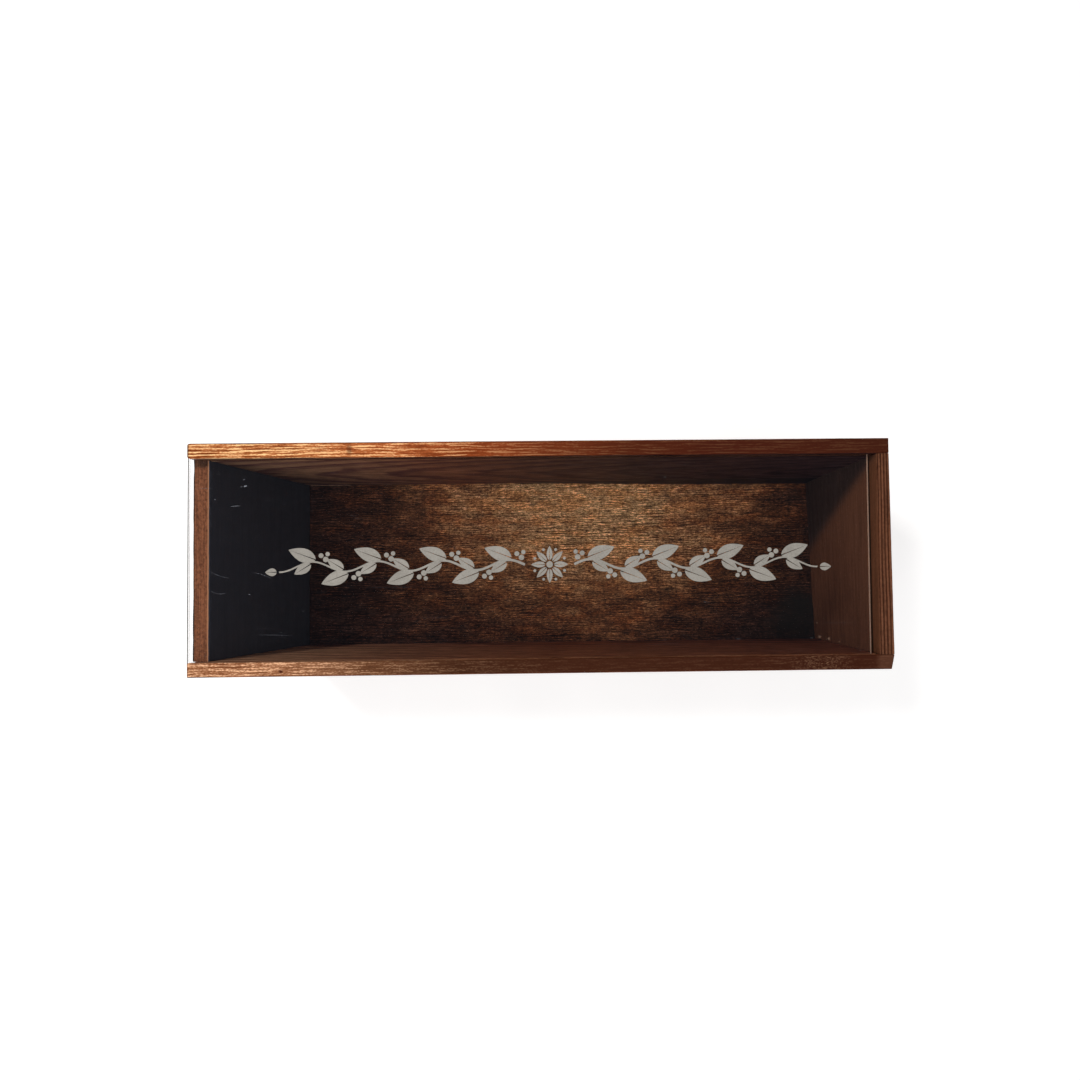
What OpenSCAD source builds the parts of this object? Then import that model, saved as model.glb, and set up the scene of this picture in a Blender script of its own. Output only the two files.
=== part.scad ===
// Wine box for one bottle: stained boards nailed at the corners, a coarse floor panel nailed on
// from below, and a clear lid that slides in grooves and leaves over the lower left end board.
// X runs along the box, Y across it, Z up. The origin is the centre of the underside.

/* [Box] */
// Length over the side boards
box_l = 366; // [250:1:500]
// Width over the side boards
box_w = 121; // [95:1:200]
// Height of the side boards, from the floor panel to the rim
wall_h = 98; // [70:1:160]

/* [Boards] */
// Thickness of the side boards
side_t = 7.6; // [7:0.1:15]
// Thickness of the end boards
end_t = 7.6; // [6.5:0.1:15]
// Thickness of the floor panel
floor_t = 4; // [3:0.5:8]
// How far the left end board stands proud of the side boards' ends
end_proud = 1.8; // [0.2:0.1:2]
// How far the front board's right end is cut out of square
end_skew = 1.6; // [0.2:0.1:1.8]

/* [Lid] */
// Thickness of the clear lid
lid_t = 3; // [2:0.1:5]
// Height of the wood above each lid groove
lip_h = 3.2; // [1.5:0.1:7]
// Depth of each lid groove into its side board
groove_d = 3.5; // [2:0.1:5]
// Play between the lid and the upper and lower walls of its grooves
lid_play_z = 0.2; // [0.1:0.05:0.6]
// Play between each long edge of the lid and its groove
lid_play_y = 0.5; // [0.2:0.1:1.2]
// Drop from the lower wall of the grooves to the top of the left end board
end_drop = 0.2; // [0.1:0.1:2]
// Gap between the lid and the right end board, as the lid stands
lid_gap = 2.4; // [0.5:0.1:6]
// Length of lid that stands out past the left ends of the side boards
lid_reach = 2.4; // [0.5:0.1:6]

/* [Brads] */
// Diameter of a brad's shank
brad_d = 1.3; // [1:0.1:1.8]
// Length of a brad with its head
brad_l = 22; // [16:1:28]
// Length of a brad's point
brad_point_l = 2; // [1:0.5:4]
// Diameter of a brad's head
brad_head_d = 2.2; // [2:0.1:3]
// Thickness of a brad's head
brad_head_t = 0.8; // [0.5:0.1:1.2]
// Brads in each corner joint
corner_brad_count = 3; // [2:1:4]
// Distance from the edges of an end board to its first and last corner brad
corner_margin = 14; // [8:1:18]
// Brads along each long edge of the floor panel
long_brad_count = 6; // [3:1:10]
// Brads along each short edge of the floor panel
short_brad_count = 2; // [2:1:3]
// Distance from the inside of the end boards to the first and last brad of a long edge
floor_margin = 12; // [6:1:25]
// Clear distance between the points of the corner brads and the floor brads of a short edge
brad_spacing = 8; // [4:1:12]

/* [Hidden] */

// Inner faces of the two end boards
left_face_x = -box_l / 2 - end_proud + end_t;
right_face_x = box_l / 2 - end_t;
inner_w = box_w - 2 * side_t;
rim_z = floor_t + wall_h;
groove_h = lid_t + 2 * lid_play_z;
groove_z = rim_z - lip_h - groove_h;
left_end_h = groove_z - end_drop - floor_t;
lid_l = box_l + lid_reach - end_t - lid_gap;
lid_w = inner_w + 2 * (groove_d - lid_play_y);
lid_z = groove_z + lid_play_z;

// Middle line of a side board
side_mid_y = box_w / 2 - side_t / 2;
// Brads of an end board sit in the middle of what the side boards cover of it
left_brad_x = (left_face_x - box_l / 2) / 2;
right_brad_x = (right_face_x + box_l / 2) / 2;

// Where the brads go
corner_z = spread(floor_t + corner_margin, groove_z - corner_margin, corner_brad_count);
long_x = spread(left_face_x + floor_margin, right_face_x - floor_margin, long_brad_count);
short_reach = box_w / 2 - brad_l - brad_spacing;
short_y = spread(-short_reach, short_reach, short_brad_count);

// Overlap of a cutter past the face it opens, so that no skin is left
over = 1;
round_fn = 32;
stain = "#5a3420";
stain_light = "#7a4a30";
coarse = "#4a3222";
clear = [0.85, 0.9, 0.92, 0.35];
steel = "#8c8a86";

// count places from first to last, evenly apart
function spread(first, last, count) =
    [for (i = [0:count - 1]) first + (last - first) * i / (count - 1)];

// One brad along +Z, its head's face on the plane z = 0 and its point inside the wood
module brad() {
    cylinder(d = brad_head_d, h = brad_head_t, $fn = round_fn);
    cylinder(d = brad_d, h = brad_l - brad_point_l, $fn = round_fn);
    translate([0, 0, brad_l - brad_point_l])
        cylinder(d1 = brad_d, d2 = 0, h = brad_point_l, $fn = round_fn);
}

// Brads of one corner joint, driven through a side board into an end board.
// across is -1 for the front board and 1 for the back board.
module corner_set(brad_x, across) {
    for (z = corner_z)
        translate([brad_x, across * box_w / 2, z])
            rotate([across * 90, 0, 0])
                brad();
}

// Brads driven up through the floor panel into a side board
module long_set(across) {
    for (x = long_x)
        translate([x, across * side_mid_y, 0])
            brad();
}

// Brads driven up through the floor panel into an end board
module short_set(brad_x) {
    for (y = short_y)
        translate([brad_x, y, 0])
            brad();
}

// A side board with its lid groove, standing on the floor panel with its outer face at the
// box's width. The groove is ploughed through the whole length.
module side_board(across) {
    board_y = across * side_mid_y;
    groove_y = across * (inner_w / 2 + groove_d / 2 - over / 2);
    difference() {
        translate([-box_l / 2, board_y - side_t / 2, floor_t])
            cube([box_l, side_t, wall_h]);
        translate([-box_l / 2 - over, groove_y - (groove_d + over) / 2, groove_z])
            cube([box_l + 2 * over, groove_d + over, groove_h]);
        corner_set(left_brad_x, across);
        corner_set(right_brad_x, across);
        long_set(across);
    }
}

// An end board between the side boards, from face_x on
module end_board(face_x, brad_x, height) {
    difference() {
        translate([face_x, -inner_w / 2, floor_t])
            cube([end_t, inner_w, height]);
        corner_set(brad_x, -1);
        corner_set(brad_x, 1);
        short_set(brad_x);
    }
}

// Wedge that the front board's right end loses, widest at its outer face
module skew_wedge() {
    translate([0, 0, floor_t - over])
        linear_extrude(height = wall_h + 2 * over)
            polygon([
                [box_l / 2, -inner_w / 2],
                [box_l / 2 - end_skew, -box_w / 2],
                [box_l / 2 - end_skew, -box_w / 2 - over],
                [box_l / 2 + over, -box_w / 2 - over],
                [box_l / 2 + over, -inner_w / 2]
            ]);
}

module side_board_back() {
    color(stain)
        side_board(1);
}

module side_board_front() {
    color(stain)
        difference() {
            side_board(-1);
            skew_wedge();
        }
}

// Lower than the rim, so that the lid passes over it
module end_board_left() {
    color(stain_light)
        end_board(left_face_x - end_t, left_brad_x, left_end_h);
}

// As high as the rim, so that the lid stops against it
module end_board_right() {
    color(stain_light)
        end_board(right_face_x, right_brad_x, wall_h);
}

module floor_panel() {
    color(coarse)
        difference() {
            translate([-box_l / 2, -box_w / 2, 0])
                cube([box_l, box_w, floor_t]);
            long_set(-1);
            long_set(1);
            short_set(left_brad_x);
            short_set(right_brad_x);
        }
}

module lid() {
    color(clear)
        translate([-box_l / 2 - lid_reach, -lid_w / 2, lid_z])
            cube([lid_l, lid_w, lid_t]);
}

module corner_brads_back_left() {
    color(steel)
        corner_set(left_brad_x, 1);
}

module corner_brads_back_right() {
    color(steel)
        corner_set(right_brad_x, 1);
}

module corner_brads_front_left() {
    color(steel)
        corner_set(left_brad_x, -1);
}

module corner_brads_front_right() {
    color(steel)
        corner_set(right_brad_x, -1);
}

module floor_brads_back() {
    color(steel)
        long_set(1);
}

module floor_brads_front() {
    color(steel)
        long_set(-1);
}

module floor_brads_left() {
    color(steel)
        short_set(left_brad_x);
}

module floor_brads_right() {
    color(steel)
        short_set(right_brad_x);
}

side_board_back();
side_board_front();
end_board_left();
end_board_right();
floor_panel();
lid();
corner_brads_back_left();
corner_brads_back_right();
corner_brads_front_left();
corner_brads_front_right();
floor_brads_back();
floor_brads_front();
floor_brads_left();
floor_brads_right();
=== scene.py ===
"""The looks of a wooden wine box with a clear sliding lid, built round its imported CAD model.

X runs along the box, Y across it and Z up, in metres, as in the frame. The back is at +Y.
"""
import math

import bmesh
import bpy
import numpy as np
from mathutils import Euler, Matrix, Vector


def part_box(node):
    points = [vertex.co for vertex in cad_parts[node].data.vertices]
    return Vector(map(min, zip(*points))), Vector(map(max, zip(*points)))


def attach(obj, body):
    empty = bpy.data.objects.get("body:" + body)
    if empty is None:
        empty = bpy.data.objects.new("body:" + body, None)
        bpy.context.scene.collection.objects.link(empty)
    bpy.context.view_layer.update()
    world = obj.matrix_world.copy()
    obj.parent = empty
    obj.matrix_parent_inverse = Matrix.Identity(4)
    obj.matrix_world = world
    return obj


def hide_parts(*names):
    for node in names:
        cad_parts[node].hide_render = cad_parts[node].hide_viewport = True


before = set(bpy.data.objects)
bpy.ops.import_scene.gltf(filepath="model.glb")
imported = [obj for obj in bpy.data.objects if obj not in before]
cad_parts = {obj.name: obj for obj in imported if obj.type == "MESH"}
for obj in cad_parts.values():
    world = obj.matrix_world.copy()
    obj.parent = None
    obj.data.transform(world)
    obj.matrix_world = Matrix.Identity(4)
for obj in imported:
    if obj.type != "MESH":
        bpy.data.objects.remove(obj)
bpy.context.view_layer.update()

MM = 0.001
# The grooves' play below and above the lid
GROOVE_PLAY = 0.2 * MM
# How far the grooves reach past the lid's long edges
GROOVE_REACH = 0.5 * MM
# How far the front board's right end is cut out of square
END_SKEW = 1.6 * MM

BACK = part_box("side_board_back")
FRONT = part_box("side_board_front")
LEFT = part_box("end_board_left")
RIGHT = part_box("end_board_right")
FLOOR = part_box("floor_panel")
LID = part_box("lid")
RIM_Z = BACK[1].z
FLOOR_Z = FLOOR[1].z
INNER_Y = BACK[0].y
GROOVE_LOW = LID[0].z - GROOVE_PLAY
GROOVE_HIGH = LID[1].z + GROOVE_PLAY
GROOVE_BED = LID[1].y + GROOVE_REACH


# ---- camera

# The photograph's frame, its focal length and its principal point, in pixels
PHOTO_SIDE = 1080
FOCAL = 564.2
CENTRE_X = 630.7
CENTRE_Y = 567.3
# Where the camera stands over the rim, and how it is turned
CAMERA_SPOT = (45.97 * MM, -6.05 * MM)
CAMERA_RISE = 293.1 * MM
CAMERA_TURN = (-0.02077, 0.01126, 0.01062)


def add_object(name, data):
    made = bpy.data.objects.new(name, data)
    bpy.context.scene.collection.objects.link(made)
    return made


def make_camera():
    data = bpy.data.cameras.new("camera")
    camera = add_object("camera", data)
    to_world = Euler(CAMERA_TURN, "XYZ").to_matrix().transposed()
    spot = Vector((*CAMERA_SPOT, RIM_Z)) + to_world @ Vector((0, 0, CAMERA_RISE))
    camera.matrix_world = Matrix.Translation(spot) @ to_world.to_4x4()
    data.sensor_width = 36.0
    data.lens = data.sensor_width * FOCAL / PHOTO_SIDE
    data.shift_x = (PHOTO_SIDE / 2 - CENTRE_X) / PHOTO_SIDE
    data.shift_y = (CENTRE_Y - PHOTO_SIDE / 2) / PHOTO_SIDE
    data.clip_start = 0.01
    data.clip_end = 20.0
    bpy.context.scene.camera = camera


# ---- colours and material nodes


def tint(red, green, blue):
    """A colour written as it looks on a screen, 0 to 255, as the linear values that a shader takes."""
    linear = []
    for level in (red, green, blue):
        share = level / 255
        linear.append(share / 12.92 if share <= 0.04045 else ((share + 0.055) / 1.055) ** 2.4)
    return (*linear, 1.0)


class Value:
    """A number that nodes work out, so that sums of such numbers are written as sums."""

    def __init__(self, paint, socket):
        self.paint = paint
        self.socket = socket

    def __add__(self, other):
        return self.paint.calc("ADD", self, other)

    def __sub__(self, other):
        return self.paint.calc("SUBTRACT", self, other)

    def __rsub__(self, other):
        return self.paint.calc("SUBTRACT", other, self)

    def __mul__(self, other):
        return self.paint.calc("MULTIPLY", self, other)

    def __truediv__(self, other):
        return self.paint.calc("DIVIDE", self, other)

    def __abs__(self):
        return self.paint.calc("ABSOLUTE", self)


class Paint:
    """One material, or the world, made of nodes, with a short method for each kind of node."""

    def __init__(self, name, kind="materials"):
        self.owner = getattr(bpy.data, kind).new(name)
        self.owner.use_nodes = True
        self.tree = self.owner.node_tree
        self.tree.nodes.clear()
        self.coords = self.node("ShaderNodeTexCoord").outputs
        self.place = self.coords["Object"]

    def node(self, kind, inputs=(), **settings):
        made = self.tree.nodes.new(kind)
        for name, value in settings.items():
            setattr(made, name, value)
        for key, value in dict(inputs).items():
            self.feed(made.inputs[key], value)
        return made

    def feed(self, socket, value):
        if isinstance(value, Value):
            value = value.socket
        if isinstance(value, bpy.types.NodeSocket):
            self.tree.links.new(value, socket)
        else:
            socket.default_value = value

    def calc(self, how, first, second=0.0, clamp=False):
        made = self.node("ShaderNodeMath", {0: first, 1: second}, operation=how, use_clamp=clamp)
        return Value(self, made.outputs[0])

    def fit(self, value, low, high, low_out=0.0, high_out=1.0, smooth=False):
        """Maps low..high onto low_out..high_out and holds it there."""
        sockets = {"Value": value, "From Min": low, "From Max": high, "To Min": low_out, "To Max": high_out}
        how = "SMOOTHSTEP" if smooth else "LINEAR"
        return Value(self, self.node("ShaderNodeMapRange", sockets, interpolation_type=how).outputs["Result"])

    def axis(self, name, place=None):
        split = self.node("ShaderNodeSeparateXYZ", {0: self.place if place is None else place})
        return Value(self, split.outputs[name])

    def noise(self, size, detail=2.0, rough=0.5, warp=0.0, shift=0.0, turn=(0.0, 0.0, 0.0)):
        """Noise from 0 to 1 with lumps of size (x, y, z) millimetres."""
        sockets = {"Vector": self.place, "Location": (shift, shift * 0.7, shift * 1.3), "Rotation": turn}
        sockets["Scale"] = tuple(1 / (side * MM) for side in size)
        cells = self.node("ShaderNodeMapping", sockets).outputs[0]
        sockets = {"Vector": cells, "Scale": 1.0, "Detail": detail, "Roughness": rough, "Distortion": warp}
        return Value(self, self.node("ShaderNodeTexNoise", sockets).outputs["Fac"])

    def ramp(self, value, *stops):
        """A colour ramp. A stop is its position and a grey, a linear colour or a tint's three levels."""
        made = self.node("ShaderNodeValToRGB", {0: value})
        line = made.color_ramp
        while len(line.elements) < len(stops):
            line.elements.new(0.5)
        for element, (position, *_) in zip(line.elements, stops):
            element.position = position
        for element, (_, first, *rest) in zip(line.elements, stops):
            if rest:
                element.color = tint(first, *rest)
            else:
                element.color = first if isinstance(first, tuple) else (first, first, first, 1.0)
        return made.outputs["Color"]

    def levels(self, value, *stops):
        """A curve through (position, level) points, with levels up to 2."""
        return self.calc("MULTIPLY", self.ramp(value, *((at, level / 2) for at, level in stops)), 2.0)

    def spot(self, x, y, reach_x, reach_y):
        """Distance from a spot on a face turned up, measured in its reaches."""
        off_x = (self.axis("X") - x) / reach_x
        off_y = (self.axis("Y") - y) / reach_y
        return self.calc("SQRT", off_x * off_x + off_y * off_y)

    def year(self, y, z, bend, pitch):
        """Which part of its year a point belongs to, from 0 to 1, where growth rings pitch apart run
        round the point (0, 0) of y and z, moved by bend years."""
        return self.calc("FRACT", bend + self.calc("SQRT", y * y + z * z) / pitch)

    def waves(self, wander, pitch):
        """A wave across Y, from -1 to 1 and back in pitch, moved by wander waves."""
        return self.calc("SINE", (wander + self.axis("Y") / pitch) * (2 * math.pi))

    def mix(self, share, first, second, how="MIX"):
        made = self.node("ShaderNodeMix", data_type="RGBA", blend_type=how)
        self.feed(made.inputs["Factor"], share)
        self.feed(made.inputs[6], first)
        self.feed(made.inputs[7], second)
        return made.outputs[2]

    def times(self, colour, by):
        """A colour multiplied by another, or by a number."""
        return self.mix(1.0, colour, by, "MULTIPLY")

    def shaded(self, share, colour, by):
        """A colour multiplied by another as far as share says."""
        return self.mix(share, colour, self.times(colour, by))

    def bump(self, height, depth, strength):
        """A normal for a height from 0 to 1 that stands for depth in metres."""
        sockets = {"Height": height, "Strength": strength, "Distance": depth}
        return self.node("ShaderNodeBump", sockets).outputs["Normal"]

    def shader(self, kind, inputs=()):
        return self.node("ShaderNodeBsdf" + kind, inputs).outputs[0]

    def blend(self, share, first, second):
        """Two shaders mixed, with share of the second."""
        return self.node("ShaderNodeMixShader", {0: share, 1: first, 2: second}).outputs[0]

    def finish(self, shader):
        self.node("ShaderNodeOutputMaterial", {"Surface": shader})
        return self.owner

    def solid(self, colour, rough, normal, specular=0.12, metallic=0.0):
        """Closes the material with a Principled shader."""
        inputs = {"Base Color": colour, "Roughness": rough, "Normal": normal, "Metallic": metallic}
        return self.finish(self.shader("Principled", {**inputs, "Specular IOR Level": specular}))


# ---- wood

# How far apart the growth rings lie in the rims
RING_PITCH = 1.6 * MM
# How far a rim's curled grain reaches, along it and across it
CURL_REACH = (24 * MM, 12 * MM)
# Where the dark band at a rim's left end begins to fade, and where it has faded
START_RUN = (0.6 * MM, 1.2 * MM)


def rim_wood(name, tones, streaks, shares, glint, knot, swirl, seed):
    """The top edge of a side board: streaked grain along X, bright at the left and dark at the right.

    tones are the ramp stops of the colour along the box, from its left end to its right end: the
    wood's own colour, with a painted highlight from the light at the left that makes the left part bright.
    streaks are the ramp stops of how strongly the grain shows along the box, strongest at the left
    under the painted highlight. shares are how much long streaks, short streaks, specks and the even
    lines of the growth rings add to the grain, and glint is the colour of its brightest lines, a
    painted highlight.
    knot is (x, y, reach along, reach across, share), and swirl is where the grain curls.
    """
    p = Paint(name)
    along = p.fit(p.axis("X"), BACK[0].x, BACK[1].x)
    tone = p.ramp(along, *tones)
    strength = p.ramp(along, *streaks)
    drift = (0, 0, 0.2)
    long = p.noise((16, 0.75, 0.75), detail=1, shift=seed, turn=drift)
    short = p.noise((4.5, 0.55, 0.55), rough=0.6, shift=seed + 2, turn=drift)
    speck = p.noise((1.3, 0.5, 0.5), detail=1, shift=seed + 3)
    rings = p.waves(p.noise((55, 7, 7), detail=1, shift=seed + 7) * 2.4, RING_PITCH)
    grain = long * shares[0] + short * shares[1] + speck * shares[2] + rings * shares[3]
    curled = p.noise((1.7, 0.6, 0.6), rough=0.6, warp=1.3, shift=seed + 5)
    curl = p.fit(p.spot(*swirl, *CURL_REACH), 0.3, 1.0, 1.0, 0.0, smooth=True)
    grain = grain + (curled - grain) * curl
    shade = p.ramp(grain, (0.40, (0.30, 0.17, 0.10, 1.0)), (0.475, (0.72, 0.60, 0.50, 1.0)), (0.53, 1.0))
    colour = p.shaded(strength, tone, shade)
    # The brightest grain lines are a painted highlight, in the glint colour.
    lit = p.mix(strength, p.times(tone, (1.6, 1.55, 1.5, 1.0)), glint)
    colour = p.mix(p.fit(grain, 0.52, 0.59) * strength, colour, lit)
    near = p.fit(p.spot(*knot[:4]), 0.4, 1.2, knot[4], 0.0)
    colour = p.mix(near, colour, tint(70, 32, 20))
    start = p.fit(p.axis("X") - BACK[0].x, *START_RUN, 0.8, 0.0)
    colour = p.mix(start, colour, tint(70, 48, 36))
    return p.solid(colour, p.fit(grain, 0.40, 0.60, 0.58, 0.45), p.bump(grain, 0.25 * MM, 0.8), 0.07)


# Between which heights the tint at a side board's foot fades out
FOOT_FADE = (45 * MM, 8 * MM)
# What the painted shadow along a board's foot, where it meets the floor, leaves of its colour,
# and where along X it grows
FOOT_SHADOW_TINT = (0.5, 0.8, 0.85, 1.0)
FOOT_SHADOW_RUN = (-50 * MM, 110 * MM)


def flame_wood(name, tones, dark, axis_spot, axis_tilt, period, foot, fibre_cell, seed, foot_shadow=0.0):
    """A flat-sawn face: growth rings round a tilted axis cut the face in long nested flames.

    axis_spot is (distance from the middle, z) of the axis at x = 0, axis_tilt how it moves off for
    each metre along X, period the width of a ring, dark the tint of late wood, foot the tint at the
    foot of the board, and fibre_cell the size of its fibres in millimetres. The last argument is how
    high a strip of painted shadow along the foot, where it meets the floor, stands at the right end.
    """
    p = Paint(name)
    x, z = p.axis("X"), p.axis("Z")
    tone = p.ramp(p.fit(x, BACK[0].x, BACK[1].x), *tones)
    tone = p.shaded(p.fit(z, *FOOT_FADE, smooth=True), tone, foot)
    lean = (p.noise((70, 30, 24), shift=seed) - 0.5) * (6 * MM) + axis_spot[0]
    wobble = (p.noise((34, 12, 9), detail=3, rough=0.55, shift=seed + 5) - 0.5) * 0.9
    year = p.year(abs(p.axis("Y")) - lean - x * axis_tilt, z - axis_spot[1], wobble, period)
    late = p.ramp(year, (0.0, 0.0), (0.35, 0.1), (0.74, 1.0), (0.90, 0.9), (1.0, 0.0))
    fibre = p.noise(fibre_cell, detail=3, rough=0.65, shift=seed + 9)
    colour = p.mix(late, p.times(tone, (1.18, 1.16, 1.14, 1.0)), p.times(tone, dark))
    colour = p.times(colour, p.levels(fibre, (0.34, 0.6), (0.5, 1.0), (0.66, 1.45)))
    # A strip of painted shadow along the foot, where the board meets the floor, higher towards the right.
    if foot_shadow:
        over = z - FLOOR_Z - p.fit(x, *FOOT_SHADOW_RUN, 0.0, foot_shadow)
        colour = p.shaded(p.fit(over, -1.8 * MM, 1.8 * MM, 1.0, 0.0), colour, FOOT_SHADOW_TINT)
    height = p.calc("MULTIPLY", late, 0.3) + fibre
    return p.solid(colour, p.fit(fibre, 0.35, 0.65, 0.6, 0.45), p.bump(height, 0.12 * MM, 0.6))


def cross_wood(name, base, contrast, seed, far=None, lines=(), mottle=0.0, ridged=False):
    """An end board, whose grain runs across the box, along Y.

    far is (colour, from, to, slant) of a painted shadow at its back end: from and to are where the
    colour begins and is full at the floor, and slant is how far that moves back for each metre of
    height. lines are (axis, from, to, softness, share, colour) of thin lines along it. mottle is how
    much short spots add to the grain. Where it is ridged, its hollows are dark.
    """
    p = Paint(name)
    fine = p.noise((0.55, 18, 0.55), detail=3, rough=0.55, warp=0.2, shift=seed)
    broad = p.noise((3.0, 60, 3.0), shift=seed + 4)
    flecks = p.noise((0.5, 2.4, 0.5), rough=0.6, shift=seed + 8)
    grain = fine * 0.5 + broad * 0.3 + flecks * 0.2
    if mottle:
        grain = grain + (p.noise((1.1, 1.3, 1.3), rough=0.65, shift=seed + 12) - 0.5) * mottle
    tone = base
    # A painted shadow at the back end.
    if far is not None:
        other, begin, full, slant = far
        tone = p.mix(p.fit(p.axis("Y") - p.axis("Z") * slant, begin, full, smooth=True), base, other)
    colour = p.times(tone, p.levels(grain, (0.38, 1 - contrast), (0.5, 1.0), (0.62, 1 + contrast)))
    if ridged:
        hollow = p.node("ShaderNodeAttribute", attribute_name="hollow").outputs["Fac"]
        colour = p.shaded(p.fit(hollow, 0.12, 0.7), colour, (0.36, 0.28, 0.24, 1.0))
    for axis, low, high, soft, share, line in lines:
        off = abs(p.axis(axis) - (low + high) / 2) / (high - low)
        colour = p.mix(p.fit(off, 0.5 - soft, 0.5 + soft, share, 0.0), colour, line)
    return p.solid(colour, p.fit(grain, 0.4, 0.6, 0.6, 0.45), p.bump(grain, 0.2 * MM, 0.6))


# The heart of the side boards' tree, as distance from the middle and z, and the width of its rings
HEART = (95 * MM, 45 * MM)
END_RING = 2.4 * MM


def end_grain():
    """The sawn ends of the side boards, with growth rings and open pores."""
    p = Paint("end_grain_wood")
    bend = p.noise((30, 9, 9), shift=5.0) * 1.5
    year = p.year(abs(p.axis("Y")) - HEART[0], p.axis("Z") - HEART[1], bend, END_RING)
    pores = p.noise((0.5, 0.35, 0.35), detail=3, rough=0.7, shift=7.0)
    colour = p.ramp(year, (0.0, 112, 72, 50), (0.55, 92, 58, 41), (0.9, 58, 35, 26), (1.0, 112, 72, 50))
    colour = p.times(colour, p.ramp(pores, (0.32, 0.4), (0.5, 1.0), (0.7, 1.25)))
    return p.solid(colour, 0.62, p.bump(pores, 0.2 * MM, 0.7))


# Places on the floor panel, and their reaches: a golden pool of painted light, a darker part and a near-black
# part
PAINTED_GLOW = (16 * MM, 46 * MM, 128 * MM, 90 * MM)
DARKER_SPOT = (140 * MM, -48 * MM, 46 * MM, 34 * MM)
BLACK_SPOT = (166 * MM, -42 * MM, 38 * MM, 30 * MM)
# A band of painted shade along the panel: its middle, and how far from it it is full and has ended
PAINTED_SHADE_Y = -16 * MM
PAINTED_SHADE_REACH = (10 * MM, 28 * MM)
# How far apart the panel's hairlines lie, and how thick its plies are
HAIR_PITCH = 1.6 * MM
PLY_T = 1.34 * MM


def floor_wood():
    """The coarse floor panel: fine dark hairlines along X over a base that is golden at the back, a
    painted pool of light, and darker round it."""
    p = Paint("coarse_floor_wood")
    blotch = p.noise((30, 13, 13), detail=3, rough=0.6, warp=0.5, shift=2.0) - 0.5
    # A golden pool of painted light towards the back of the panel.
    glow = p.fit(p.spot(*PAINTED_GLOW) - blotch, 0.05, 1.65, 1.0, 0.0, smooth=True)
    glow = glow * (1.0 - p.fit(p.spot(*DARKER_SPOT), 0.2, 1.1, 0.9, 0.0, smooth=True))
    tones = ((0.0, 43, 27, 22), (0.2, 63, 38, 25), (0.45, 98, 62, 39), (0.72, 144, 101, 68))
    base = p.ramp(glow, *tones, (1.0, 182, 139, 97))
    redder = p.fit(p.noise((19, 8, 8), rough=0.6, warp=0.4, shift=31.0), 0.42, 0.6)
    base = p.shaded(redder, base, (0.96, 0.80, 0.68, 1.0))
    wave = p.waves(p.noise((36, 5, 5), shift=5.0) * 3.6, HAIR_PITCH)
    broken = p.noise((8, 1.0, 1.0), rough=0.6, shift=9.0)
    ribbed = p.fit(p.noise((26, 12, 12), rough=0.6, warp=0.4, shift=17.0), 0.40, 0.58, 0.4, 1.0)
    dark_hair = p.fit(wave, 0.25, 0.7) * p.fit(broken, 0.40, 0.48) * ribbed
    lit_hair = p.fit(wave, -0.3, -0.8) * p.fit(broken, 0.48, 0.58) * ribbed
    fibre = p.noise((2.2, 0.5, 0.5), detail=1, shift=13.0)
    grain = p.noise((9, 1.1, 1.1), detail=1, shift=23.0)
    fleck = p.noise((0.85, 0.6, 0.6), detail=0, shift=41.0)
    patch = p.noise((15, 6, 6), rough=0.6, warp=0.4, shift=47.0)
    across = p.noise((1.2, 26, 26), rough=0.6, shift=21.0)
    light = p.levels(fibre, (0.34, 0.4), (0.5, 1.0), (0.66, 1.95))
    light *= p.levels(grain, (0.36, 0.84), (0.5, 1.0), (0.64, 1.18))
    light *= p.levels(patch, (0.36, 0.78), (0.5, 1.0), (0.64, 1.25))
    light *= p.levels(fleck, (0.25, 0.58), (0.5, 1.0), (0.75, 1.5))
    light *= (1.0 - dark_hair * 0.72) * (lit_hair * 1.1 + 1.0)
    # A band of painted shade along the panel.
    light *= p.fit(abs(p.axis("Y") - PAINTED_SHADE_Y), *PAINTED_SHADE_REACH, 0.66, 1.0, smooth=True)
    light *= p.fit(across, 0.38, 0.5, 0.82, 1.03)
    scorch = p.fit(p.noise((8, 5, 5), detail=3, rough=0.65, warp=0.6, shift=25.0), 0.41, 0.31)
    colour = p.shaded(scorch, p.times(base, light), (0.42, 0.46, 0.52, 1.0))
    black_share = p.fit(p.spot(*BLACK_SPOT) + blotch * 0.9, 0.25, 1.0, 0.85, 0.0, smooth=True)
    colour = p.mix(black_share, colour, tint(23, 21, 19))
    height = fibre - dark_hair * 0.4
    return p.solid(colour, p.fit(fibre, 0.42, 0.58, 0.62, 0.5), p.bump(height, 0.16 * MM, 0.6))


def ply_edge():
    """The edge of the floor panel, with the thin lines of its plies."""
    p = Paint("ply_edge_wood")
    plies = p.calc("FRACT", p.axis("Z") / PLY_T)
    fibre = p.noise((9, 9, 0.25), detail=3, rough=0.6, shift=4.0)
    colour = p.ramp(plies, (0.0, 52, 33, 24), (0.12, 96, 63, 43), (0.85, 84, 54, 37), (1.0, 52, 33, 24))
    colour = p.times(colour, p.ramp(fibre, (0.3, 0.55), (0.7, 1.35)))
    return p.solid(colour, 0.68, p.bump(fibre, 0.2 * MM, 0.7))


# ---- other materials

# What clear acrylic leaves of the light that goes straight through
CLEAR = {"Color": (0.96, 0.97, 0.98, 1.0)}
# From which height in the lid a grey band of painted shade darkens its left edge, and where it is full
PAINTED_DARK_EDGE = (LID[0].z + 1.4 * MM, LID[0].z + 1.6 * MM)


def glass(p, rough):
    inputs = {"Base Color": (1.0, 1.0, 1.0, 1.0), "Roughness": rough, "IOR": 1.49, "Transmission Weight": 1.0}
    return p.shader("Principled", inputs)


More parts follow.
